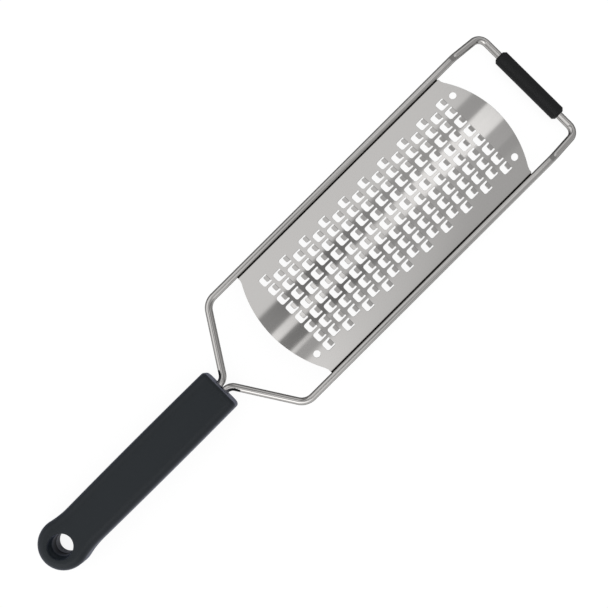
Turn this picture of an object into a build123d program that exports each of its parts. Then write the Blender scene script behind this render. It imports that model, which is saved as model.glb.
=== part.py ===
from build123d import *
import math
import os

# A rasp zester: a wide arched plate of raised teeth in a bent wire frame, with a moulded handle and a
# rubber foot. Millimetres. +X runs from the handle to the foot, +Y across the plate and +Z up, and the
# origin is at the middle of the place that the tool covers on a table, at the table's height.

# The wire and the frame that it is bent into
wire_diameter = 3.8
rail_spacing = 69.9
tail_gap = 0.3
tail_length = 58.0
exit_run = 3.4
neck_angle = 57.3
exit_bend_radius = 5.5
shoulder_bend_radius = 8.0
shoulder_to_blade = 19.25
blade_to_drop = 13.0
drop_run = 18.6
drop_bend_radius = 12.0
end_toe_in = 1.0
corner_bend_radius = 5.2

# The plate: an arched sheet whose long edges turn down beside the rails and curl under them
sheet_thickness = 0.5
blade_length = 139.7
arch_radius = 88.0
edge_lift = 0.2
edge_bend_radius = 1.2
crevice_width = 0.8
seat_clearance = 0.05
gutter_bend_radius = 1.3
gutter_lip_angle = 45.0
end_arc_radius = 62.0
end_arc_rise = 7.9
ear_fillet_radius = 4.0

# The teeth: staggered rows of openings, each with a tongue raised from its far edge. The margins are
# the least from an ear, or from a side bend, to the middle of an opening, and the webs are the metal
# left between openings of one row or column.
row_pitch = 6.81
column_pitch = 6.39
row_margin = 8.0
column_margin = 9.0
row_web = 1.81
column_web = 1.44
pattern_shift = 0.21
tooth_width = 3.1
tooth_reach = 2.4
tooth_rise = 0.8
tooth_thickness = 0.4
tooth_bevel = 0.45
tooth_root_depth = 0.3
tooth_root_inset = 0.06

# The three round holes near the corners of the plate
peg_hole_diameter = 3.7
peg_hole_inset = 1.4
peg_hole_offset = 21.5

# The handle
handle_length = 120.8
handle_thickness = 21.0
handle_end_diameter = 25.9
waist_width = 22.5
middle_width = 23.5
front_width = 23.1
waist_blend_radius = 43.0
long_edge_radius = 4.5
front_edge_chamfer = 0.8
hanging_hole_diameter = 11.0
hanging_hole_from_end = 12.7
hanging_rim_chamfer = 1.2
pocket_clearance = 0.05
pocket_end_gap = 1.0
cut_overrun = 2.0

# The foot, a sleeve that grips the crossbar a little off its middle
foot_diameter = 7.8
foot_length = 42.0
foot_offset = -1.0
foot_chamfer = 1.3
foot_bore_clearance = 0.02

# Everything that follows from the sizes above
wire_radius = wire_diameter / 2
rail_y = rail_spacing / 2
tail_y = (wire_diameter + tail_gap) / 2
neck_run = (rail_y - tail_y) / math.tan(math.radians(neck_angle))
foot_radius = foot_diameter / 2
overall_length = (
    handle_length + exit_run + neck_run + shoulder_to_blade + blade_length
    + blade_to_drop + drop_run + foot_radius
)

handle_end_x = -overall_length / 2
handle_front_x = handle_end_x + handle_length
exit_x = handle_front_x + exit_run
shoulder_x = exit_x + neck_run
near_ear_x = shoulder_x + shoulder_to_blade
far_ear_x = near_ear_x + blade_length
drop_x = far_ear_x + blade_to_drop
crossbar_x = drop_x + drop_run
blade_x = (near_ear_x + far_ear_x) / 2

wire_z = handle_thickness / 2
crossbar_z = foot_radius
crossbar_y = rail_y - end_toe_in

# The plate's section: the sheet turns down at wall_y, beside the wire, and seats under it
seat_radius = wire_radius + seat_clearance
wall_y = rail_y - wire_radius - crevice_width
edge_bend_y = wall_y - edge_bend_radius
edge_bend_z = wire_z + edge_lift
arch_center_z = edge_bend_z - math.sqrt((arch_radius - edge_bend_radius) ** 2 - edge_bend_y ** 2)
arch_edge_angle = math.degrees(math.asin(edge_bend_y / (arch_radius - edge_bend_radius)))
gutter_bend_y = wall_y + gutter_bend_radius
gutter_bend_z = wire_z - seat_radius + gutter_bend_radius

# The pattern: as many rows and columns as the margins leave room for
arch_half_width = arch_radius * math.radians(arch_edge_angle)
row_count = math.floor((blade_length - 2 * row_margin) / row_pitch) + 1
wide_row_teeth = math.floor(2 * (arch_half_width - column_margin) / column_pitch) + 1
opening_length = row_pitch - row_web
opening_width = column_pitch - column_web


def wire_frame():
    """One wire: a tail, out along the diagonal neck, along a rail, down to the crossbar and back."""
    side = [
        (handle_front_x - tail_length, tail_y, wire_z),
        (exit_x, tail_y, wire_z),
        (shoulder_x, rail_y, wire_z),
        (drop_x, rail_y, wire_z),
        (crossbar_x, crossbar_y, crossbar_z),
    ]
    other_side = [(x, -y, z) for x, y, z in reversed(side)]
    side_radii = [exit_bend_radius, shoulder_bend_radius, drop_bend_radius, corner_bend_radius]
    path = FilletPolyline(*side, *other_side, radius=side_radii + side_radii[::-1])
    start = Plane(origin=side[0], z_dir=(1, 0, 0))
    return sweep(start * Circle(wire_radius), path=path)


def sheet_side(depth):
    """The plate's half section at a depth under its upper face, from the crown to the gutter's lip."""
    bend_start = 90 - arch_edge_angle
    arch = CenterArc((0, arch_center_z), arch_radius - depth, 90, -arch_edge_angle)
    bend = CenterArc((edge_bend_y, edge_bend_z), edge_bend_radius - depth, bend_start, -bend_start)
    turn = CenterArc((gutter_bend_y, gutter_bend_z), gutter_bend_radius + depth, 180, 90)
    lip = CenterArc((rail_y, wire_z), seat_radius + depth, 270, gutter_lip_angle)
    wall = Line(bend @ 1, turn @ 0)
    shelf = Line(turn @ 1, lip @ 0)
    return [arch, bend, wall, turn, shelf, lip]


def plan_outline():
    """The plate seen from above: square ears at the rails and a shallow arc at each end."""
    outline = Pos(blade_x, 0) * Rectangle(blade_length, 2 * rail_spacing)
    half_chord = math.sqrt(end_arc_radius ** 2 - (end_arc_radius - end_arc_rise) ** 2)
    for ear_x, outward in ((near_ear_x, -1), (far_ear_x, 1)):
        low = (ear_x, -half_chord)
        high = (ear_x, half_chord)
        arc = ThreePointArc(low, (ear_x + outward * end_arc_rise, 0), high)
        outline += make_face([arc, Line(high, low)])
    notches = [v for v in outline.vertices() if abs(v.Y) < rail_y]
    return fillet(notches, ear_fillet_radius)


def on_arch(x, angle):
    """A plane that touches the plate's upper face, at an angle in radians from the crown."""
    normal = (0, math.sin(angle), math.cos(angle))
    origin = (x, arch_radius * normal[1], arch_center_z + arch_radius * normal[2])
    return Plane(origin=origin, x_dir=(1, 0, 0), z_dir=normal)


def tooth_places():
    """Where each tooth stands, as a plane at the middle of its opening."""
    places = []
    for row in range(row_count):
        x = blade_x + pattern_shift + (row - (row_count - 1) / 2) * row_pitch
        teeth = wide_row_teeth - row % 2
        for column in range(teeth):
            angle = (column - (teeth - 1) / 2) * column_pitch / arch_radius
            places.append(on_arch(x, angle))
    return places


def tooth():
    """One tongue: it rises from the far edge of its opening to a bevelled edge facing the handle."""
    root_x = opening_length / 2
    tip_x = root_x - tooth_reach
    slope = (tooth_rise + tooth_root_inset) / tooth_reach
    length = math.hypot(tooth_reach, tooth_rise)
    heel_x = tip_x + tooth_bevel - tooth_thickness * tooth_rise / length
    heel_z = tooth_rise - slope * tooth_bevel - tooth_thickness * tooth_reach / length
    side = Polyline(
        (root_x + tooth_root_depth, -tooth_root_inset - slope * tooth_root_depth),
        (tip_x, tooth_rise),
        (heel_x, heel_z),
        (root_x + tooth_root_depth, tooth_root_inset - sheet_thickness),
        close=True,
    )
    return extrude(Plane.XZ * make_face(side), amount=tooth_width / 2, both=True)


def blade():
    """The plate: its section drawn out along the tool, trimmed to its outline, pierced and toothed."""
    upper = sheet_side(0)
    lower = sheet_side(sheet_thickness)
    crown = Line(upper[0] @ 0, lower[0] @ 0)
    lip_end = Line(upper[-1] @ 1, lower[-1] @ 1)
    half_section = make_face([*upper, lip_end, *lower, crown])
    length = blade_length + 2 * end_arc_rise
    half = extrude(Plane.YZ.offset(blade_x - length / 2) * half_section, amount=length)
    plate = half + mirror(half, about=Plane.XZ)
    plate = plate & extrude(plan_outline(), amount=arch_center_z + arch_radius + cut_overrun)

    places = tooth_places()
    window = Box(opening_length, opening_width, 2 * (sheet_thickness + cut_overrun))
    plate -= [place * window for place in places]
    tongue = tooth()
    plate += [place * tongue for place in places]

    hole_angle = math.asin(peg_hole_offset / arch_radius)
    peg_hole = Cylinder(peg_hole_diameter / 2, 2 * (sheet_thickness + cut_overrun))
    near_x = near_ear_x + peg_hole_inset
    far_x = far_ear_x - peg_hole_inset
    for x, side in ((near_x, -1), (far_x, -1), (far_x, 1)):
        plate -= on_arch(x, side * hole_angle) * peg_hole
    return plate


def handle():
    """The handle: a long rounded grip with a ring-shaped end, a hanging hole and the wire's pocket."""
    end_x = handle_end_x + handle_end_diameter / 2
    middle_x = (end_x + handle_front_x) / 2
    waist = (end_x, waist_width / 2)
    front_corner = (handle_front_x, front_width / 2)
    left = ThreePointArc(waist, (middle_x, middle_width / 2), front_corner)
    right = mirror(left, about=Plane.XZ)
    grip = make_face([left, Line(left @ 1, right @ 1), right, Line(right @ 0, left @ 0)])
    outline = grip + Pos(end_x, 0) * Circle(handle_end_diameter / 2)
    outline = fillet(outline.vertices().group_by(Axis.X)[0], waist_blend_radius)
    body = extrude(outline, amount=handle_thickness)

    flats = body.faces().filter_by(Axis.Z)
    long_edges = [e for e in flats.edges() if (e @ 0.5).X < handle_front_x - front_edge_chamfer]
    body = fillet(long_edges, long_edge_radius)
    front = body.faces().sort_by(Axis.X)[-1]
    body = chamfer(front.edges(), front_edge_chamfer)

    hole_x = handle_end_x + hanging_hole_from_end
    hole_height = handle_thickness + 2 * cut_overrun
    body -= Pos(hole_x, 0, wire_z) * Cylinder(hanging_hole_diameter / 2, hole_height)
    bore = body.faces().filter_by(GeomType.CYLINDER).sort_by_distance((hole_x, 0, wire_z))[0]
    body = chamfer(bore.edges().filter_by(GeomType.CIRCLE), hanging_rim_chamfer)

    pocket_height = wire_diameter + 2 * pocket_clearance
    pocket = SlotCenterToCenter(2 * tail_y, pocket_height)
    pocket_depth = tail_length + pocket_end_gap
    mouth = Plane(origin=(handle_front_x, 0, wire_z), x_dir=(0, 1, 0), z_dir=(-1, 0, 0))
    return body - extrude(mouth * pocket, amount=pocket_depth)


def foot():
    """The foot: a plain sleeve with chamfered ends on the crossbar."""
    outside = Cylinder(foot_radius, foot_length)
    sleeve = chamfer(outside.edges().filter_by(GeomType.CIRCLE), foot_chamfer)
    sleeve -= Cylinder(wire_radius + foot_bore_clearance, foot_length + 2 * cut_overrun)
    return Pos(crossbar_x, foot_offset, crossbar_z) * Rot(90, 0, 0) * sleeve


os.makedirs("parts", exist_ok=True)
for name, build_piece in (
    ("wire_frame", wire_frame),
    ("blade", blade),
    ("handle", handle),
    ("foot", foot),
):
    export_step(build_piece(), f"parts/{name}.step")
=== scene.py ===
import math

import bpy
import numpy as np
from mathutils import Matrix, Vector
from mathutils.geometry import delaunay_2d_cdt


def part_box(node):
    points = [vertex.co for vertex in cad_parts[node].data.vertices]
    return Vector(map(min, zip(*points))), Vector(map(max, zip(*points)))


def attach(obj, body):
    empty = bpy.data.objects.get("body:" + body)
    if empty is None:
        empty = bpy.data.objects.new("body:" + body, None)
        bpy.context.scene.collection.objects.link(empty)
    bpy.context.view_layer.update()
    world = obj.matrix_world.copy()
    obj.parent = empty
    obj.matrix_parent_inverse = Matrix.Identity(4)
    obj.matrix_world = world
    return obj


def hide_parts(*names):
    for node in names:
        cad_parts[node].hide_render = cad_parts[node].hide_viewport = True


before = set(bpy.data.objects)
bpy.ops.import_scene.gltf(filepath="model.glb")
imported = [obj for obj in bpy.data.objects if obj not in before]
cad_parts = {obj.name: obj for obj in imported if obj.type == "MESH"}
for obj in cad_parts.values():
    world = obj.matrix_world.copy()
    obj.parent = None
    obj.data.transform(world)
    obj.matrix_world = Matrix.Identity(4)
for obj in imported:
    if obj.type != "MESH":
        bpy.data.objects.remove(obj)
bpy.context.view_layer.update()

# Lengths below are in millimetres, and a mesh is brought to metres when it is made.
mm = 0.001


# The wire frame: one length of bright-drawn 18/8 stainless wire, bent cold round pins. Its two ends
# are moulded into the handle, its rails carry the plate, and its far end drops to a crossbar at the
# height of the table.
wire_radius = 1.9
tail_gap = 0.3
exit_run = 3.4
neck_angle = 57.3
drop_run = 18.6
end_toe_in = 1.0
exit_bend_radius = 5.5
shoulder_bend_radius = 8.0
drop_bend_radius = 12.0
corner_bend_radius = 5.2

wire_low, wire_high = [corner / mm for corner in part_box("wire_frame")]
handle_low, handle_high = [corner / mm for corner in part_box("handle")]
tail_x = wire_low.x
tail_y = wire_radius + tail_gap / 2
rail_y = wire_high.y - wire_radius
rail_z = wire_high.z - wire_radius
crossbar_x = wire_high.x - wire_radius
crossbar_z = wire_low.z + wire_radius
exit_x = handle_high.x + exit_run
shoulder_x = exit_x + (rail_y - tail_y) / math.tan(math.radians(neck_angle))


def unit(vector):
    """The vector at a length of one."""
    return vector / np.linalg.norm(vector)


def rounded_route(corners, radii, arc_steps=16):
    """Points along straight runs joined by arcs, with one radius for each inner corner."""
    corners = [np.array(corner, float) for corner in corners]
    route = [corners[0]]
    for before, corner, after, radius in zip(corners, corners[1:], corners[2:], radii):
        back = unit(before - corner)
        ahead = unit(after - corner)
        half_angle = math.acos(back @ ahead) / 2
        centre = corner + unit(back + ahead) * radius / math.sin(half_angle)
        arm = corner + back * radius / math.tan(half_angle) - centre
        for angle in np.linspace(0, math.pi - 2 * half_angle, arc_steps + 1):
            route.append(centre + arm * math.cos(angle) - back * radius * math.sin(angle))
    return np.array([*route, corners[-1]])


def add_piece(name, points, faces, normals=None, uv=None):
    """Makes a smooth mesh object of points in millimetres, with normals and a UV map if given."""
    mesh = bpy.data.meshes.new(name)
    mesh.from_pydata((np.array(points) * mm).tolist(), [], [list(map(int, face)) for face in faces])
    mesh.shade_smooth()
    if uv is not None:
        corner_points = np.empty(len(mesh.loops), int)
        mesh.loops.foreach_get("vertex_index", corner_points)
        layer = mesh.uv_layers.new(name="UVMap")
        layer.uv.foreach_set("vector", np.array(uv, np.float32)[corner_points].ravel())
    if normals is not None:
        lengths = np.linalg.norm(normals, axis=1, keepdims=True)
        mesh.normals_split_custom_set_from_vertices((np.array(normals) / lengths).tolist())
    piece = bpy.data.objects.new(name, mesh)
    bpy.context.scene.collection.objects.link(piece)
    return piece


def ring_faces(first, second, closed=True):
    """Quads between two rows of point numbers of one length."""
    count = len(first)
    steps = range(count if closed else count - 1)
    return [(first[k], first[(k + 1) % count], second[(k + 1) % count], second[k]) for k in steps]


def tube(route, radius, sides=40):
    """Points, normals, faces and UVs, in millimetres, of a closed round tube along a route."""
    runs = np.diff(route, axis=0)
    runs /= np.linalg.norm(runs, axis=1, keepdims=True)
    headings = [runs[0], *[unit(a + b) for a, b in zip(runs, runs[1:])], runs[-1]]
    along = np.concatenate([[0], np.cumsum(np.linalg.norm(np.diff(route, axis=0), axis=1))])
    side = unit(np.cross(headings[0], [0, 0, 1]))
    points, normals, uv, rings = [], [], [], []
    for place, heading, length in zip(route, headings, along):
        side = unit(side - heading * (side @ heading))
        lift = np.cross(heading, side)
        rings.append(list(range(len(points), len(points) + sides)))
        for k in range(sides):
            angle = 2 * math.pi * k / sides
            normal = side * math.cos(angle) + lift * math.sin(angle)
            points.append(place + normal * radius)
            normals.append(normal)
            uv.append((radius * min(angle, 2 * math.pi - angle), length))
    faces = [face for a, b in zip(rings, rings[1:]) for face in ring_faces(a, b)]
    faces += [rings[0][::-1], rings[-1]]
    return points, normals, faces, uv


def linear(hex_colour):
    """An sRGB hex colour as linear red, green, blue and alpha."""
    shares = [int(hex_colour[k:k + 2], 16) / 255 for k in (1, 3, 5)]
    return [c / 12.92 if c <= 0.04045 else ((c + 0.055) / 1.055) ** 2.4 for c in shares] + [1.0]


def add_node(tree, kind, inputs=None, **settings):
    """Adds a node. Each of its inputs, by name or number, takes a value or another node's output."""
    node = tree.nodes.new(kind)
    for name, value in settings.items():
        setattr(node, name, value)
    for socket, value in (inputs or {}).items():
        if isinstance(value, bpy.types.NodeSocket):
            tree.links.new(value, node.inputs[socket])
        else:
            node.inputs[socket].default_value = value
    return node


def new_material(name, **shader_inputs):
    """A material with one Principled shader, whose inputs are named with underscores for spaces."""
    material = bpy.data.materials.new(name)
    material.use_nodes = True
    shader = material.node_tree.nodes["Principled BSDF"]
    for socket, value in shader_inputs.items():
        shader.inputs[socket.replace("_", " ").title().replace("Ior", "IOR")].default_value = value
    return material, material.node_tree, shader


def drawn_stainless_wire():
    """Bright-drawn stainless wire: a slightly warm mirror with hair-fine die lines along it."""
    # Drawn coarser than the real lines, which are too fine to show
    die_line_width = 0.15
    die_line_length = 18.0
    material, tree, shader = new_material(
        "drawn_stainless_wire", base_color=linear("#c9c7c5"), metallic=1.0, roughness=0.07,
        specular_tint=linear("#3a3a3a"),
    )
    place = add_node(tree, "ShaderNodeUVMap", uv_map="UVMap")
    stretch = add_node(tree, "ShaderNodeMapping", {
        "Vector": place.outputs["UV"],
        "Scale": (1 / die_line_width, 1 / die_line_length, 1),
    })
    lines = add_node(tree, "ShaderNodeTexNoise", {
        "Vector": stretch.outputs["Vector"], "Scale": 1.0, "Detail": 3.0, "Roughness": 0.6,
    })
    bump = add_node(tree, "ShaderNodeBump", {
        "Height": lines.outputs["Fac"], "Strength": 0.05, "Distance": 0.01 * mm,
    })
    wear = add_node(tree, "ShaderNodeMapRange", {
        "Value": lines.outputs["Fac"],
        "From Min": 0.3, "From Max": 0.7, "To Min": 0.05, "To Max": 0.09,
    })
    tree.links.new(bump.outputs["Normal"], shader.inputs["Normal"])
    tree.links.new(wear.outputs["Result"], shader.inputs["Roughness"])
    return material


wire_side = [
    (tail_x, tail_y, rail_z),
    (exit_x, tail_y, rail_z),
    (shoulder_x, rail_y, rail_z),
    (crossbar_x - drop_run, rail_y, rail_z),
    (crossbar_x, rail_y - end_toe_in, crossbar_z),
]
wire_corners = wire_side + [(x, -y, z) for x, y, z in reversed(wire_side)]
side_radii = [exit_bend_radius, shoulder_bend_radius, drop_bend_radius, corner_bend_radius]
wire_route = rounded_route(wire_corners, side_radii + side_radii[::-1])
wire_points, wire_normals, wire_faces, wire_uv = tube(wire_route, wire_radius)
wire = add_piece("frame_wire", wire_points, wire_faces, wire_normals, wire_uv)
wire.data.materials.append(drawn_stainless_wire())
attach(wire, "root")
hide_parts("wire_frame")


# The plate: one sheet of bright 18/8 stainless, etched through so that each opening leaves a tongue.
# The tongues are pressed up and ground, the sheet is arched, and its long edges are rolled under the
# rails and spot welded to them.
sheet_thickness = 0.5
arch_radius = 88.0
edge_lift = 0.61
edge_bend_radius = 0.6
crevice_width = 0.45
seat_clearance = 0.05
gutter_bend_radius = 1.3
gutter_lip_angle = 45.0
end_arc_radius = 62.0
end_arc_rise = 7.9
ear_fillet_radius = 4.0
row_count = 19
wide_row_teeth = 8
row_pitch = 6.81
column_pitch = 6.39
pattern_shift = 0.21
opening_length = 5.0
opening_width = 4.95
opening_corner_radius = 1.1
slot_end_radius = 0.4
tooth_width = 3.1
tooth_reach = 2.15
tooth_rise = 0.72
tooth_bend_length = 0.35
tooth_corner_radius = 0.55
peg_hole_radius = 1.85
peg_hole_inset = 1.4
peg_hole_offset = 21.5
peg_hole_sides = 28
punched_edge_radius = 0.1
edge_burr = 0.04
# Where the painted shade of the seam starts past the edge bend, and how softly it blends in
seam_depth = 0.5
seam_blend = 0.6

blade_low, blade_high = [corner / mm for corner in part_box("blade")]
near_ear_x = blade_low.x + end_arc_rise
far_ear_x = blade_high.x - end_arc_rise
blade_x = (near_ear_x + far_ear_x) / 2
seat_radius = wire_radius + seat_clearance
wall_y = rail_y - wire_radius - crevice_width
edge_bend_y = wall_y - edge_bend_radius
edge_bend_z = rail_z + edge_lift
arch_slope = math.asin(edge_bend_y / (arch_radius - edge_bend_radius))
arch_center_z = edge_bend_z - (arch_radius - edge_bend_radius) * math.cos(arch_slope)
gutter_bend_z = rail_z - seat_radius + gutter_bend_radius

# The sheet's section from the crown outwards, as its length and how far it turns, downwards first
sheet_runs = [
    (arch_radius * arch_slope, -arch_slope),
    (edge_bend_radius * (math.pi / 2 - arch_slope), arch_slope - math.pi / 2),
    (edge_bend_z - gutter_bend_z, 0.0),
    (gutter_bend_radius * math.pi / 2, math.pi / 2),
    (rail_y - wall_y - gutter_bend_radius, 0.0),
    (seat_radius * math.radians(gutter_lip_angle), math.radians(gutter_lip_angle)),
]
half_sheet = sum(length for length, turn in sheet_runs)


def on_sheet(across):
    """Where a place this far across the flat sheet lies once formed: y, z and the face's slope."""
    left = min(abs(across), half_sheet)
    y, z, slope = 0.0, arch_center_z + arch_radius, 0.0
    for length, turn in sheet_runs:
        step = min(left, length)
        bend = turn * step / length
        if bend:
            radius = length / turn
            y += radius * (math.sin(slope + bend) - math.sin(slope))
            z -= radius * (math.cos(slope + bend) - math.cos(slope))
        else:
            y += step * math.cos(slope)
            z += step * math.sin(slope)
        slope += bend
        left -= step
        if left <= 0:
            break
    side = math.copysign(1.0, across)
    return side * y, z, side * slope


def end_reach(y):
    """How far the sheet's end stands out past its ears at a distance y from the middle."""
    arc_center = end_arc_rise - end_arc_radius
    both_radii = end_arc_radius + ear_fillet_radius
    fillet_y = math.sqrt(both_radii ** 2 - (ear_fillet_radius - arc_center) ** 2)
    meet_y = fillet_y * end_arc_radius / both_radii
    y = abs(y)
    if y < meet_y:
        return arc_center + math.sqrt(end_arc_radius ** 2 - y ** 2)
    if y < fillet_y:
        return ear_fillet_radius - math.sqrt(ear_fillet_radius ** 2 - (fillet_y - y) ** 2)
    return 0.0


def flat_outline(across_lines):
    """The sheet's outline before it is formed, anticlockwise from its near left corner."""
    near = [(near_ear_x - end_reach(on_sheet(a)[0]), a) for a in across_lines[::-1]]
    far = [(far_ear_x + end_reach(on_sheet(a)[0]), a) for a in across_lines]
    edge_steps = 2 * row_count + 2
    edge_places = np.linspace(near_ear_x, far_ear_x, edge_steps + 1)[1:-1]
    low_edge = [(x, -half_sheet) for x in edge_places]
    high_edge = [(x, half_sheet) for x in edge_places[::-1]]
    return near + low_edge + far + high_edge


def rounded_loop(corners, radii, arc_steps=5):
    """A closed flat outline whose corners are arcs."""
    ring = [corners[-1], *corners, corners[0]]
    route = rounded_route([(x, y, 0) for x, y in ring], radii, arc_steps)
    return [(x, y) for x, y, z in route[1:-1]]


def opening_loop(x, across):
    """One etched opening round its tongue, whose root is on the side away from the handle."""
    near_x = x - opening_length / 2
    far_x = x + opening_length / 2
    tip_x = far_x - tooth_reach
    side = opening_width / 2
    tongue = tooth_width / 2
    corners = [
        (near_x, across - side), (far_x, across - side),
        (far_x, across - tongue), (tip_x, across - tongue),
        (tip_x, across + tongue), (far_x, across + tongue),
        (far_x, across + side), (near_x, across + side),
    ]
    radii = [opening_corner_radius, slot_end_radius, slot_end_radius, tooth_corner_radius]
    loop = rounded_loop(corners, radii + radii[::-1])[::-1]
    # One more point on each side of the tongue, where its bend ends
    bend_x = far_x - tooth_bend_length
    same_line = 0.01
    with_bends = []
    for (x, y), (next_x, _) in zip(loop, loop[1:] + loop[:1]):
        with_bends.append((x, y))
        on_tongue = abs(abs(y - across) - tongue) < same_line
        if on_tongue and min(x, next_x) < bend_x < max(x, next_x):
            with_bends.append((bend_x, y))
    return with_bends


tooth_places = []
for row in range(row_count):
    row_x = blade_x + pattern_shift + (row - (row_count - 1) / 2) * row_pitch
    teeth = wide_row_teeth - row % 2
    for column in range(teeth):
        tooth_places.append((row_x, (column - (teeth - 1) / 2) * column_pitch))

peg_hole_across = arch_radius * math.asin(peg_hole_offset / arch_radius)
peg_places = [
    (near_ear_x + peg_hole_inset, -peg_hole_across),
    (far_ear_x - peg_hole_inset, -peg_hole_across),
    (far_ear_x - peg_hole_inset, peg_hole_across),
]
peg_angles = np.linspace(0, 2 * math.pi, peg_hole_sides, endpoint=False)

# Where the lines along the mesh lie: this many steps in each run of the section, close together
# where the sheet bends sharply
line_counts = [21, 8, 3, 6, 1, 4]
line_starts = np.concatenate([[0], np.cumsum([length for length, turn in sheet_runs])])
half_lines = np.concatenate([[0], *[
    np.linspace(start, end, count + 1)[1:]
    for start, end, count in zip(line_starts, line_starts[1:], line_counts)
]])
across_lines = np.concatenate([-half_lines[:0:-1], half_lines])

loops = [flat_outline(across_lines)]
loops += [opening_loop(x, across) for x, across in tooth_places]
loops += [
    [
        (x + peg_hole_radius * math.cos(a), across - peg_hole_radius * math.sin(a))
        for a in peg_angles
    ]
    for x, across in peg_places
]


def loop_normals(loop):
    """For each point of a closed loop, the direction in its plane that leaves the metal."""
    loop = np.array(loop)
    runs = np.roll(loop, -1, axis=0) - np.roll(loop, 1, axis=0)
    runs /= np.linalg.norm(runs, axis=1, keepdims=True)
    return np.stack([runs[:, 1], -runs[:, 0]], axis=1)


def signed_area(loop):
    """The area inside a closed loop, positive where it runs anticlockwise."""
    x, y = np.array(loop).T
    return (x @ np.roll(y, -1) - y @ np.roll(x, -1)) / 2


def fill_between(outline, holes, inner_points):
    """Triangles that fill an outline round its holes. Points are numbered outline, holes, inner."""
    rings = [outline, *holes]
    places = [Vector(p) for ring in rings for p in ring] + [Vector(p) for p in inner_points]
    starts = np.concatenate([[0], np.cumsum([len(ring) for ring in rings])])
    anticlockwise = []
    for ring, start, end in zip(rings, starts, starts[1:]):
        direction = 1 if signed_area(ring) > 0 else -1
        anticlockwise.append(list(range(start, end))[::direction])
    inside_only = 1
    same_place = 1e-6
    _, _, triangles, old_points, _, in_rings = delaunay_2d_cdt(
        places, [], anticlockwise, inside_only, same_place
    )
    # A triangle that lies in the outline and in no hole is in ring 0 alone
    return [
        [old_points[k][0] for k in triangle]
        for triangle, rings_round_it in zip(triangles, in_rings) if list(rings_round_it) == [0]
    ]


def tongue_lift(x, across):
    """How far a place on the flat sheet is pressed up, and how steeply, if it is on a tongue."""
    slope = tooth_rise / (tooth_reach - tooth_bend_length / 2)
    half_tongue_and_slot = (tooth_width + opening_width) / 4
    for tooth_x, tooth_across in tooth_places:
        back = tooth_x + opening_length / 2 - x
        if 0 < back < opening_length / 2 and abs(across - tooth_across) < half_tongue_and_slot:
            if back < tooth_bend_length:
                return slope * back ** 2 / (2 * tooth_bend_length), slope * back / tooth_bend_length
            return slope * (back - tooth_bend_length / 2), slope
    return 0.0, 0.0


def formed(x, across, depth, leaving=(0.0, 0.0), tilt=0.0):
    """A place in the formed sheet and its normal, tilted from the upper face towards the edge."""
    y, z, slope = on_sheet(across)
    lift, steepness = tongue_lift(x, across)
    lengthwise = np.array([1.0, 0.0, 0.0])
    sidewise = np.array([0.0, math.cos(slope), math.sin(slope)])
    flat_up = np.array([0.0, -math.sin(slope), math.cos(slope)])
    up = unit(flat_up + steepness * lengthwise)
    place = np.array([x, y, z]) + lift * flat_up - depth * up
    edge = leaving[0] * (lengthwise - steepness * flat_up) + leaving[1] * sidewise
    return place, math.cos(tilt) * up + math.sin(tilt) * edge


# The sheet's edge round each loop: how far inside the loop, how deep and how tilted each ring is
halfway = math.pi / 4
edge_rings = [
    (punched_edge_radius, 0.0, 0.0),
    (punched_edge_radius * (1 - math.sin(halfway)), punched_edge_radius * (1 - math.cos(halfway)),
     halfway),
    (0.0, punched_edge_radius, math.pi / 2),
    (0.0, sheet_thickness - edge_burr, math.pi / 2),
    (edge_burr, sheet_thickness, math.pi),
]
leavings = [loop_normals(loop) for loop in loops]
upper_loops = [
    np.array(loop) - punched_edge_radius * leaving for loop, leaving in zip(loops, leavings)
]

# Points within the sheet, on the same steps of every line, kept clear of its ends and openings, and
# more of them in the bend of each tongue
steps_per_row = 4
clear_of_end = 0.8
clear_of_opening_along = 0.35
clear_of_opening_across = 0.25
clear_of_peg_hole = 0.5
bend_points_share = 0.38
bend_points_across = 4
no_point_along = opening_length / 2 + clear_of_opening_along
no_point_across = opening_width / 2 + clear_of_opening_across
line_steps = np.arange(
    near_ear_x - end_arc_rise, far_ear_x + end_arc_rise, row_pitch / steps_per_row
)
inner_points = []
for across in across_lines[1:-1]:
    reach = end_reach(on_sheet(across)[0]) - clear_of_end
    for x in line_steps:
        inside = near_ear_x - reach < x < far_ear_x + reach
        near_tooth = any(
            abs(a - x) < no_point_along and abs(b - across) < no_point_across
            for a, b in tooth_places
        )
        near_peg = any(
            math.hypot(a - x, b - across) < peg_hole_radius + clear_of_peg_hole
            for a, b in peg_places
        )
        if inside and not near_tooth and not near_peg:
            inner_points.append((x, across))
bend_widths = np.linspace(-bend_points_share, bend_points_share, bend_points_across) * tooth_width
for x, across in tooth_places:
    for back in (0.0, tooth_bend_length / 2, tooth_bend_length):
        inner_points += [(x + opening_length / 2 - back, across + width) for width in bend_widths]

sheet_faces = fill_between(upper_loops[0], upper_loops[1:], inner_points)
blade_points, blade_normals, blade_painted_shade = [], [], []
seam_across = line_starts[2] + seam_depth


def add_sheet_point(x, across, depth, leaving=(0.0, 0.0), tilt=0.0):
    """Adds one point of the formed sheet, with the painted shade of the seam, and returns its number.
    """
    place, normal = formed(x, across, depth, leaving, tilt)
    # Past the edge bend and down the wall, the upper face turns dark: painted shade of the crevice
    # beside each rail
    in_seam = min(max((abs(across) - seam_across) / seam_blend + 0.5, 0.0), 1.0)
    blade_points.append(place)
    blade_normals.append(normal)
    blade_painted_shade.append(in_seam if depth < sheet_thickness / 2 else 0.0)
    return len(blade_points) - 1


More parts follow.
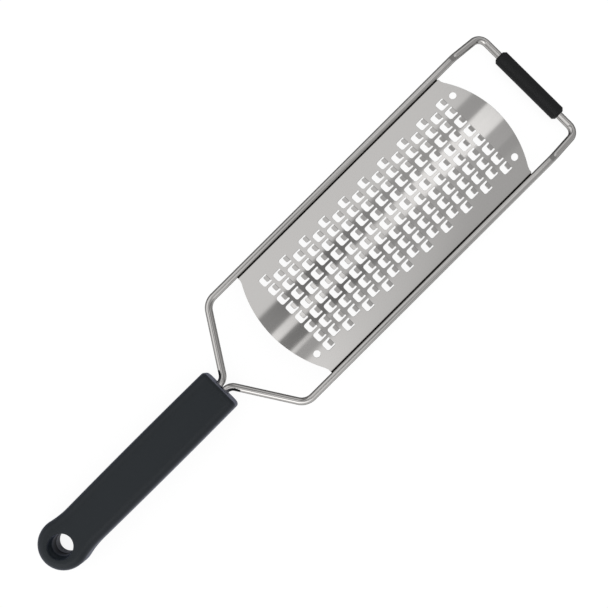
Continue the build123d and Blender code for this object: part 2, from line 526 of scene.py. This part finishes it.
ring_numbers = []
for inset, depth, tilt in edge_rings:
    ring_numbers.append([
        [
            add_sheet_point(x - inset * out[0], across - inset * out[1], depth, out, tilt)
            for (x, across), out in zip(loop, leaving)
        ]
        for loop, leaving in zip(loops, leavings)
    ])
upper_numbers = [n for ring in ring_numbers[0] for n in ring]
lower_numbers = [n for ring in ring_numbers[-1] for n in ring]
upper_numbers += [add_sheet_point(x, across, 0.0) for x, across in inner_points]
lower_numbers += [
    add_sheet_point(x, across, sheet_thickness, tilt=math.pi) for x, across in inner_points
]
blade_faces = [[upper_numbers[n] for n in face] for face in sheet_faces]
blade_faces += [[lower_numbers[n] for n in face[::-1]] for face in sheet_faces]
for upper_ring, lower_ring in zip(ring_numbers, ring_numbers[1:]):
    for a, b in zip(upper_ring, lower_ring):
        blade_faces += ring_faces(b, a)


def bright_stainless_sheet():
    """Bright-rolled stainless sheet: a soft mirror with a faint grain, and painted shade in its
    seams.
    """
    # Drawn coarser than the real grain, which is too fine to show
    grain_width = 0.25
    grain_length = 14.0
    material, tree, shader = new_material("bright_stainless_sheet", metallic=1.0, roughness=0.09)
    place = add_node(tree, "ShaderNodeTexCoord")
    stretch = add_node(tree, "ShaderNodeMapping", {
        "Vector": place.outputs["Object"],
        "Scale": (1 / (grain_length * mm), 1 / (grain_width * mm), 1 / (grain_width * mm)),
    })
    grain = add_node(tree, "ShaderNodeTexNoise", {
        "Vector": stretch.outputs["Vector"], "Scale": 1.0, "Detail": 4.0, "Roughness": 0.6,
    })
    bump = add_node(tree, "ShaderNodeBump", {
        "Height": grain.outputs["Fac"], "Strength": 0.05, "Distance": 0.02 * mm,
    })
    wear = add_node(tree, "ShaderNodeMapRange", {
        "Value": grain.outputs["Fac"],
        "From Min": 0.3, "From Max": 0.7, "To Min": 0.07, "To Max": 0.11,
    })
    seam = add_node(tree, "ShaderNodeAttribute", attribute_name="seam_painted_shade")
    # The seam's share turns the sheet near black: painted shade of the crevice between sheet and wire
    colour = add_node(tree, "ShaderNodeMix", {
        "Factor": seam.outputs["Fac"], 6: linear("#cfcdcb"), 7: linear("#2b2a29"),
    }, data_type="RGBA")
    tree.links.new(colour.outputs[2], shader.inputs["Base Color"])
    tree.links.new(bump.outputs["Normal"], shader.inputs["Normal"])
    tree.links.new(wear.outputs["Result"], shader.inputs["Roughness"])
    return material


blade = add_piece("rasp_plate", blade_points, blade_faces, blade_normals)
# The painted shade of the seam goes to the mesh as a point attribute
seam_painted_shade = blade.data.attributes.new("seam_painted_shade", "FLOAT", "POINT")
seam_painted_shade.data.foreach_set("value", blade_painted_shade)
blade.data.materials.append(bright_stainless_sheet())
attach(blade, "root")
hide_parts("blade")


# The foot: a sleeve of black rubber, moulded with chamfered ends and pushed on to the crossbar before
# the wire is closed. It stops the far end from sliding on a board.
foot_low, foot_high = [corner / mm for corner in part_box("foot")]
foot_radius = (foot_high.z - foot_low.z) / 2
foot_length = foot_high.y - foot_low.y
foot_chamfer = 1.3
foot_edge_radius = 0.3
foot_edge_steps = 4
foot_sides = 64
foot_centre = Vector((crossbar_x, (foot_low.y + foot_high.y) / 2, crossbar_z))
foot_end = foot_length / 2
foot_profile = rounded_route(
    [
        (wire_radius, -foot_end, 0), (foot_radius - foot_chamfer, -foot_end, 0),
        (foot_radius, foot_chamfer - foot_end, 0), (foot_radius, foot_end - foot_chamfer, 0),
        (foot_radius - foot_chamfer, foot_end, 0), (wire_radius, foot_end, 0),
    ],
    [foot_edge_radius] * 4,
    foot_edge_steps,
)


def turned(profile, centre, sides):
    """Points and faces of a ring turned about Y through a centre, from a profile of radius and y."""
    points, rings = [], []
    for radius, y, _ in profile:
        rings.append(list(range(len(points), len(points) + sides)))
        for k in range(sides):
            angle = 2 * math.pi * k / sides
            right, up = radius * math.sin(angle), radius * math.cos(angle)
            points.append((centre.x + right, centre.y + y, centre.z + up))
    rings.append(rings[0])
    return points, [face for a, b in zip(rings, rings[1:]) for face in ring_faces(a, b)]


def add_mould_grain(tree, shader, grain_size, strength):
    """Gives a shader the fine eroded grain of a steel mould, of this size in millimetres."""
    # The sizes in use are coarser than the real grain, which is too fine to show
    grain_depth = 0.05
    place = add_node(tree, "ShaderNodeTexCoord")
    grain = add_node(tree, "ShaderNodeTexNoise", {
        "Vector": place.outputs["Object"], "Scale": 1 / (grain_size * mm), "Detail": 3.0,
    })
    bump = add_node(tree, "ShaderNodeBump", {
        "Height": grain.outputs["Fac"], "Strength": strength, "Distance": grain_depth * mm,
    })
    tree.links.new(bump.outputs["Normal"], shader.inputs["Normal"])


def moulded_rubber():
    """Moulded rubber: black, quite matt, with the fine grain of its mould."""
    material, tree, shader = new_material(
        "moulded_rubber", base_color=linear("#0b0c0e"), roughness=0.55, ior=1.5,
        specular_ior_level=0.32,
    )
    add_mould_grain(tree, shader, grain_size=0.35, strength=0.4)
    return material


foot_points, foot_faces = turned(foot_profile, foot_centre, foot_sides)
foot = add_piece("rubber_foot", foot_points, foot_faces)
foot.data.materials.append(moulded_rubber())
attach(foot, "root")
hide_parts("foot")


# The handle: one solid moulding of charcoal polypropylene with a soft matt grain, moulded round the
# two wire ends. It parts along its middle height, and the hanging hole's upper rim is scooped out
# towards the end.
end_radius = 12.95
waist_width = 22.5
middle_width = 23.5
front_width = 23.1
waist_blend_radius = 43.0
long_edge_radius = 4.5
front_edge_radius = 0.9
front_corner_radius = 1.8
hole_radius = 5.5
hole_from_end = 12.7
upper_rim_radius = 0.5
lower_rim_radius = 1.0
scoop_least = 0.1
scoop_most = 1.9
scoop_depth = 3.5
scoop_sharpness = 1.6
parting_ridge = 0.06
parting_ridge_width = 0.35
bore_ridge = 0.22
bore_ridge_below_middle = 0.7
bore_ridge_half_width = 0.5
slot_rim = 0.35
slot_depth = 6.0
end_steps = 40
waist_steps = 16
side_steps = 40
long_edge_steps = 10
hole_sides = 72
rim_steps = 6
scoop_steps = 10
front_rim_steps = 6
front_points_across = 11
slot_arc_steps = 12
sharp_edge_angle = 35

end_x = handle_low.x + end_radius
front_x = handle_high.x
handle_top = handle_high.z
handle_middle_z = handle_top / 2


def circle_through(first, second, third):
    """The centre's x and y and the radius of the circle through three places."""
    (ax, ay), (bx, by), (cx, cy) = first, second, third
    d = 2 * (ax * (by - cy) + bx * (cy - ay) + cx * (ay - by))
    a2, b2, c2 = ax * ax + ay * ay, bx * bx + by * by, cx * cx + cy * cy
    centre_x = (a2 * (by - cy) + b2 * (cy - ay) + c2 * (ay - by)) / d
    centre_y = (a2 * (cx - bx) + b2 * (ax - cx) + c2 * (bx - ax)) / d
    return centre_x, centre_y, math.hypot(ax - centre_x, ay - centre_y)


side_cx, side_cy, side_radius = circle_through(
    (end_x, waist_width / 2), ((end_x + front_x) / 2, middle_width / 2), (front_x, front_width / 2)
)
# The waist's blend touches the end circle and the side from outside
reach_end = end_radius + waist_blend_radius
reach_side = side_radius + waist_blend_radius
gap = math.hypot(side_cx - end_x, side_cy)
along_gap = (reach_end ** 2 - reach_side ** 2 + gap ** 2) / (2 * gap)
off_gap = math.sqrt(reach_end ** 2 - along_gap ** 2)
toward = ((side_cx - end_x) / gap, side_cy / gap)
blend_cx = end_x + along_gap * toward[0] - off_gap * toward[1]
blend_cy = along_gap * toward[1] + off_gap * toward[0]
end_angle = math.atan2(blend_cy, blend_cx - end_x)
side_angle = math.atan2(blend_cy - side_cy, blend_cx - side_cx)
# Half the outline as places and the direction that leaves the handle there, from its end to its front
half_outline = [
    (end_x + end_radius * math.cos(a), end_radius * math.sin(a), math.cos(a), math.sin(a))
    for a in np.linspace(math.pi, end_angle, end_steps)
]
half_outline += [
    (blend_cx - waist_blend_radius * math.cos(a), blend_cy - waist_blend_radius * math.sin(a),
     math.cos(a), math.sin(a))
    for a in np.linspace(end_angle, side_angle, waist_steps)[1:]
]
front_angle = math.acos((front_x - front_corner_radius - side_cx) / side_radius)
half_outline += [
    (side_cx + side_radius * math.cos(a), side_cy + side_radius * math.sin(a),
     math.cos(a), math.sin(a))
    for a in np.linspace(side_angle, front_angle, side_steps)[1:]
]
outline = half_outline[::-1] + [(x, -y, nx, -ny) for x, y, nx, ny in half_outline[1:]]

# The wall's profile from the upper face to the lower: how far in from the outline, how high, and its
# tilt
upper_profile = [
    (parting_ridge + long_edge_radius * (1 - math.sin(a)),
     handle_top - long_edge_radius * (1 - math.cos(a)),
     math.pi / 2 - a)
    for a in np.linspace(0, math.pi / 2, long_edge_steps)
]
ridge_profile = [
    (parting_ridge, handle_middle_z + parting_ridge_width, 0.0), (0.0, handle_middle_z, 0.0),
    (parting_ridge, handle_middle_z - parting_ridge_width, 0.0),
]
wall_profile = upper_profile + ridge_profile
wall_profile += [(inset, handle_top - z, -tilt) for inset, z, tilt in upper_profile[::-1]]

handle_points, handle_faces = [], []


def add_points(places):
    """Adds points to the handle's mesh and returns their numbers."""
    start = len(handle_points)
    handle_points.extend(places)
    return list(range(start, len(handle_points)))


wall_rows = [
    add_points([(x - inset * nx, y - inset * ny, z) for x, y, nx, ny in outline])
    for inset, z, tilt in wall_profile
]
for a, b in zip(wall_rows, wall_rows[1:]):
    handle_faces += ring_faces(b, a, closed=False)

# The hanging hole's wall, from the upper rim's scoop through the bore and its parting ridge to the
# lower rim
hole_x = handle_low.x + hole_from_end
hole_angles = np.linspace(0, 2 * math.pi, hole_sides, endpoint=False)


def scoop(angle):
    """How far the hole's rim is scooped out at an angle from +X, most towards the handle's end."""
    towards_end = (1 - math.cos(angle)) / 2
    return scoop_least + (scoop_most - scoop_least) * towards_end ** scoop_sharpness


# Each row of the hole's wall: its share of the scoop, how far out and how deep it lies
rim_angles = np.linspace(0, math.pi / 2, rim_steps)
hole_profile = [
    (1.0, upper_rim_radius * (1 - math.sin(a)), upper_rim_radius * (1 - math.cos(a)))
    for a in rim_angles
]
hole_profile += [
    ((1 + math.cos(math.pi * share)) / 2, 0.0, upper_rim_radius + share * scoop_depth)
    for share in np.linspace(0, 1, scoop_steps)[1:]
]
ridge_depth = handle_middle_z + bore_ridge_below_middle
hole_profile += [
    (0.0, 0.0, ridge_depth - bore_ridge_half_width),
    (0.0, -bore_ridge, ridge_depth),
    (0.0, 0.0, ridge_depth + bore_ridge_half_width),
]
hole_profile += [
    (0.0, lower_rim_radius * (1 - math.cos(a)), handle_top - lower_rim_radius * (1 - math.sin(a)))
    for a in rim_angles
]

hole_rows = []
for scoop_share, out, depth in hole_profile:
    places = []
    for a in hole_angles:
        radius = hole_radius + scoop_share * scoop(a) + out
        places.append((hole_x + radius * math.cos(a), radius * math.sin(a), handle_top - depth))
    hole_rows.append(add_points(places))
for a, b in zip(hole_rows, hole_rows[1:]):
    handle_faces += ring_faces(a, b)

# The upper and lower faces, filled between the outline and the hole
front_section_x = front_x - front_corner_radius
face_outline = [handle_points[n][:2] for n in wall_rows[0]]
front_half = face_outline[0][1]
front_steps = np.linspace(-front_half, front_half, front_points_across + 2)[1:-1]
grid_step = 4.0
grid_half_width = 6.0
grid_points_across = 5
grid_from_end = 6.0
grid_from_front = 2.0
grid_from_hole = 1.5
grid = [
    (x, y)
    for x in np.arange(handle_low.x + grid_from_end, front_section_x - grid_from_front, grid_step)
    for y in np.linspace(-grid_half_width, grid_half_width, grid_points_across)
    if math.hypot(x - hole_x, y) > hole_radius + scoop_most + grid_from_hole
]
face_triangles = fill_between(
    face_outline + [(front_section_x, y) for y in front_steps],
    [[handle_points[n][:2] for n in hole_rows[0]][::-1]],
    grid,
)
front_lines = []
for level, order, wall_row, hole_row in (
    (handle_top, 1, wall_rows[0], hole_rows[0]), (0.0, -1, wall_rows[-1], hole_rows[-1]),
):
    front_line = add_points([(front_section_x, y, level) for y in front_steps])
    inner = add_points([(x, y, level) for x, y in grid])
    numbers = wall_row + front_line + hole_row[::-1] + inner
    handle_faces += [[numbers[n] for n in face[::order]] for face in face_triangles]
    front_lines.append(front_line)
upper_line, lower_line = front_lines

# The front: a rounded rim all round, and a flat face with the slot that the two wires enter. The
# section starts at the lower face, and each of its points has the direction that leaves the handle.
left_side = [row[0] for row in wall_rows]
right_side = [row[-1] for row in wall_rows]
section = lower_line + left_side[::-1] + upper_line[::-1] + right_side
section_flat = np.array([handle_points[n][1:] for n in section])
left_facing = outline[0][3]
left_out = [(left_facing * math.cos(tilt), math.sin(tilt)) for inset, z, tilt in wall_profile]
right_out = [(-y, z) for y, z in left_out]
down_out = [(0.0, -1.0)] * front_points_across
up_out = [(0.0, 1.0)] * front_points_across
section_out = np.array(down_out + left_out[::-1] + up_out + right_out)
section_out /= np.linalg.norm(section_out, axis=1, keepdims=True)
rim_insets = front_edge_radius + (front_corner_radius - front_edge_radius) * section_out[:, :1] ** 2
front_rows = [section]
for a in np.linspace(0, math.pi / 2, front_rim_steps + 1)[1:]:
    x = front_section_x + front_corner_radius * math.sin(a)
    ring = section_flat - rim_insets * (1 - math.cos(a)) * section_out
    front_rows.append(add_points([(x, *place) for place in ring]))
for a, b in zip(front_rows, front_rows[1:]):
    handle_faces += ring_faces(a, b)

slot_half_height = wire_radius + seat_clearance
slot_arc = np.linspace(-math.pi / 2, math.pi / 2, slot_arc_steps + 1)


def slot_ring(x, grow):
    """The wires' slot, grown by a rim, as a ring of points at one x."""
    radius = slot_half_height + grow
    return [
        (x, side * (tail_y + radius * math.cos(a)), handle_middle_z - side * radius * math.sin(a))
        for side in (-1, 1) for a in slot_arc
    ]


slot_rows = [
    add_points(slot_ring(x, grow))
    for x, grow in ((front_x, slot_rim), (front_x - slot_rim, 0.0), (front_x - slot_depth, 0.0))
]
for a, b in zip(slot_rows, slot_rows[1:]):
    handle_faces += ring_faces(b, a)
handle_faces.append(slot_rows[-1][::-1])

front_ring = [tuple(handle_points[n][1:]) for n in front_rows[-1]]
slot_front = [tuple(handle_points[n][1:]) for n in slot_rows[0]]
face_numbers = front_rows[-1] + slot_rows[0]
for face in fill_between(front_ring, [slot_front], []):
    handle_faces.append([face_numbers[n] for n in face])


def soft_matt_polypropylene():
    """Charcoal polypropylene from an eroded mould: a fine even grain, and a soft sheen."""
    material, tree, shader = new_material(
        "soft_matt_polypropylene", base_color=linear("#0d161c"), roughness=0.5, ior=1.49,
        specular_ior_level=0.4, sheen_weight=0.25, sheen_roughness=0.4, sheen_tint=linear("#d5dcff"),
    )
    add_mould_grain(tree, shader, grain_size=0.4, strength=0.35)
    return material


handle = add_piece("moulded_handle", handle_points, handle_faces)
handle.data.set_sharp_from_angle(angle=math.radians(sharp_edge_angle))
handle.data.materials.append(soft_matt_polypropylene())
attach(handle, "root")
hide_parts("handle")


# The floor: a white sweep. The camera sees it plain white, but for the soft shadow that the tool
# casts. What shines mirrors it at part of that, by the direction of the mirrored ray: bright where
# that ray comes down before the tool or at its handle, and in shade elsewhere.
floor_half = 3.0
floor_gap = 0.05
floor_brightness = 1.03
shadow_share = 0.12
mirrored_behind = 0.12
mirrored_before = 0.62
mirrored_change = 0.7
floor_mesh = bpy.data.meshes.new("white_floor")
floor_mesh.from_pydata(
    [(x, y, -floor_gap * mm) for x, y in ((-1, -1), (1, -1), (1, 1), (-1, 1))], [], [(0, 1, 2, 3)]
)
floor_mesh.transform(Matrix.Diagonal((floor_half, floor_half, 1, 1)))
floor = bpy.data.objects.new("white_floor", floor_mesh)
bpy.context.scene.collection.objects.link(floor)
floor_paint = bpy.data.materials.new("white_sweep")
floor_paint.use_nodes = True
tree = floor_paint.node_tree
tree.nodes.clear()
light_path = add_node(tree, "ShaderNodeLightPath")
straight = add_node(tree, "ShaderNodeMath", {
    0: light_path.outputs["Is Camera Ray"], 1: light_path.outputs["Is Transmission Ray"],
}, operation="ADD", use_clamp=True)
seen = add_node(tree, "ShaderNodeMath", {
    0: straight.outputs[0], 1: light_path.outputs["Is Glossy Ray"],
}, operation="ADD", use_clamp=True)
# This direction counts for mirrored rays alone. What the camera sees directly takes none of it.
surface = add_node(tree, "ShaderNodeNewGeometry")
seen_from = add_node(tree, "ShaderNodeSeparateXYZ", {"Vector": surface.outputs["Incoming"]})
toward_light = add_node(tree, "ShaderNodeMath", {
    0: seen_from.outputs["X"], 1: seen_from.outputs["Y"],
}, operation="ADD")
mirrored = add_node(tree, "ShaderNodeMapRange", {
    "Value": toward_light.outputs[0], "From Min": -mirrored_change, "From Max": mirrored_change,
    "To Min": mirrored_behind, "To Max": mirrored_before,
})
brightness = add_node(tree, "ShaderNodeMapRange", {
    "Value": straight.outputs[0],
    "To Min": mirrored.outputs["Result"], "To Max": floor_brightness - shadow_share,
})
plain = add_node(tree, "ShaderNodeBsdfDiffuse", {"Color": linear("#d4d4d4")})
shaded = add_node(tree, "ShaderNodeBsdfDiffuse", {"Color": [shadow_share] * 3 + [1.0]})
glow = add_node(tree, "ShaderNodeEmission", {
    "Color": (1, 1, 1, 1), "Strength": brightness.outputs["Result"],
})
white = add_node(tree, "ShaderNodeAddShader", {0: shaded.outputs[0], 1: glow.outputs[0]})
mixed = add_node(tree, "ShaderNodeMixShader", {
    0: seen.outputs[0], 1: plain.outputs[0], 2: white.outputs[0],
})
add_node(tree, "ShaderNodeOutputMaterial", {"Surface": mixed.outputs[0]})
floor.data.materials.append(floor_paint)


# The studio: a plain white dome for what is matt, and for what shines, softboxes and dark cards hung
# along the tool, side by side, so that the arched plate shows them as bands. Angles are in degrees
# from straight overhead.
full_strength = 2.2
dark_strength = 0.35
far_view_angle = 12.5
card_from = -25.0
card_to = 55.0
# Each card has the angle across the tool where it starts, over the plate's near end and over its far
# end, the softness of that edge, and its strengths at these angles along the tool. The strengths
# began as tones of the plate's bands read off the photograph, and were then changed.
card_stops = [-25.0, -3.0, 2.5, 8.5, 11.0, 42.5, 51.0]
cards = [
    (-115, -115, 24, [0.65, 0.65, 0.60, 0.46, 0.42, 0.45, 0.45]),
    (-50, -50, 24, [1.60, 1.05, 0.81, 0.64, 0.54, 0.55, 0.46]),
    (-25.0, -23.0, 5, [2.20, 0.50, 0.47, 0.46, 0.46, 0.55, 0.46]),
    (-16.0, -15.0, 1.4, [2.00, 1.20, 0.44, 0.56, 0.56, 0.55, 0.46]),
    (-13.0, -9.8, 2.0, [0.35, 0.33, 0.17, 0.55, 0.55, 0.55, 0.46]),
    (-2.6, -3.2, 2.0, [1.10, 1.25, 0.60, 1.20, 1.20, 1.10, 0.42]),
    (4.2, 12.4, 2.0, [0.38, 0.42, 0.17, 0.46, 0.47, 0.62, 0.44]),
    (18.4, 24.6, 2.8, [1.05, 0.87, 0.85, 0.83, 0.83, 0.80, 0.70]),
    (74, 74, 10, [0.24, 0.20, 0.18, 0.18, 0.19, 0.30, 0.30]),
]
# Past the tool's far end one more card hangs across them all, between two angles off the plane that
# stands across the tool
end_card_from = 14.5
end_card_to = 35.0
end_card_softness = 2.0
end_card_strength = 0.30
world = bpy.data.worlds.new("studio")
bpy.context.scene.world = world
world.use_nodes = True
tree = world.node_tree
tree.nodes.clear()
direction = add_node(tree, "ShaderNodeTexCoord")
split = add_node(tree, "ShaderNodeSeparateXYZ", {"Vector": direction.outputs["Generated"]})
angles = []
for axis in ("Y", "X"):
    radians = add_node(tree, "ShaderNodeMath", {
        0: split.outputs[axis], 1: split.outputs["Z"],
    }, operation="ARCTAN2")
    angles.append(add_node(tree, "ShaderNodeMath", {0: radians.outputs[0]}, operation="DEGREES"))
across_angle, along_angle = angles
along_share = add_node(tree, "ShaderNodeMapRange", {
    "Value": along_angle.outputs[0], "From Min": card_from, "From Max": card_to,
})
seen_card = add_node(tree, "ShaderNodeValue")
seen_card.outputs[0].default_value = dark_strength / full_strength
seen_card_output = seen_card.outputs[0]
for near_edge, far_edge, softness, strengths in cards:
    edge = add_node(tree, "ShaderNodeMapRange", {
        "Value": along_angle.outputs[0], "From Min": 0.0, "From Max": far_view_angle,
        "To Min": near_edge, "To Max": far_edge,
    })
    past = add_node(tree, "ShaderNodeMath", {
        0: across_angle.outputs[0], 1: edge.outputs["Result"],
    }, operation="SUBTRACT")
    passed = add_node(tree, "ShaderNodeMapRange", {
        "Value": past.outputs[0], "From Min": -softness / 2, "From Max": softness / 2,
    }, interpolation_type="SMOOTHSTEP")
    ramp = add_node(tree, "ShaderNodeValToRGB", {"Fac": along_share.outputs["Result"]})
    while len(ramp.color_ramp.elements) < len(strengths):
        ramp.color_ramp.elements.new(1.0)
    for element, stop, strength in zip(ramp.color_ramp.elements, card_stops, strengths):
        element.position = (stop - card_from) / (card_to - card_from)
        element.color = [strength / full_strength] * 3 + [1.0]
    mix = add_node(tree, "ShaderNodeMix", {
        "Factor": passed.outputs["Result"], 2: seen_card_output, 3: ramp.outputs["Color"],
    }, data_type="FLOAT")
    seen_card_output = mix.outputs[0]
toward_end = add_node(tree, "ShaderNodeMath", {0: split.outputs["X"]}, operation="ARCSINE")
end_angle = add_node(tree, "ShaderNodeMath", {0: toward_end.outputs[0]}, operation="DEGREES")
entered, left = [
    add_node(tree, "ShaderNodeMapRange", {
        "Value": end_angle.outputs[0],
        "From Min": edge - end_card_softness / 2, "From Max": edge + end_card_softness / 2,
    }, interpolation_type="SMOOTHSTEP")
    for edge in (end_card_from, end_card_to)
]
covered = add_node(tree, "ShaderNodeMath", {
    0: entered.outputs["Result"], 1: left.outputs["Result"],
}, operation="SUBTRACT")
mix = add_node(tree, "ShaderNodeMix", {
    "Factor": covered.outputs[0], 2: seen_card_output, 3: end_card_strength / full_strength,
}, data_type="FLOAT")
seen_card_output = mix.outputs[0]
light_path = add_node(tree, "ShaderNodeLightPath")
shine = add_node(tree, "ShaderNodeBackground", {"Color": seen_card_output, "Strength": full_strength})
dome = add_node(tree, "ShaderNodeBackground", {"Color": (1, 1, 1, 1), "Strength": 1.0})
glossy_mix = add_node(tree, "ShaderNodeMixShader", {
    0: light_path.outputs["Is Glossy Ray"], 1: dome.outputs[0], 2: shine.outputs[0],
})
add_node(tree, "ShaderNodeOutputWorld", {"Surface": glossy_mix.outputs[0]})


# The camera: nearly overhead, a little to one side of the tool, and turned so that the tool rises to
# the right. It tilts half way to the picture's centre, and a shift of its lens does the rest.
picture_width = 608
sensor_width = 36.0
focal_pixels = 1174.4
camera_height = 580.0
camera_over = (3.5, -31.0)
picture_centre = (8.93, 0.65)
tilt_share = 0.5
tool_angle = 44.88
seen_as_far_as = 100.0

camera_data = bpy.data.cameras.new("camera")
camera = bpy.data.objects.new("camera", camera_data)
bpy.context.scene.collection.objects.link(camera)
bpy.context.scene.camera = camera
camera_data.sensor_width = sensor_width
camera_data.lens = focal_pixels / picture_width * sensor_width
camera_data.clip_end = seen_as_far_as
camera_place = Vector((*camera_over, rail_z + camera_height))
centre_place = Vector((*picture_centre, rail_z))
nadir = Vector((*camera_over, rail_z))
back = (camera_place - nadir.lerp(centre_place, tilt_share)).normalized()
tool_axis = (Vector((1, 0, 0)) - back * back.x).normalized()
tool_side = back.cross(tool_axis)
turn = math.radians(tool_angle)
right = tool_axis * math.cos(turn) - tool_side * math.sin(turn)
upward = tool_axis * math.sin(turn) + tool_side * math.cos(turn)
to_centre = centre_place - camera_place
lens_shares = focal_pixels / picture_width / -to_centre.dot(back)
camera_data.shift_x = to_centre.dot(right) * lens_shares
camera_data.shift_y = to_centre.dot(upward) * lens_shares
camera.matrix_world = Matrix.LocRotScale(
    camera_place * mm, Matrix((right, upward, back)).transposed(), None
)

bpy.context.scene.view_settings.view_transform = "Standard"
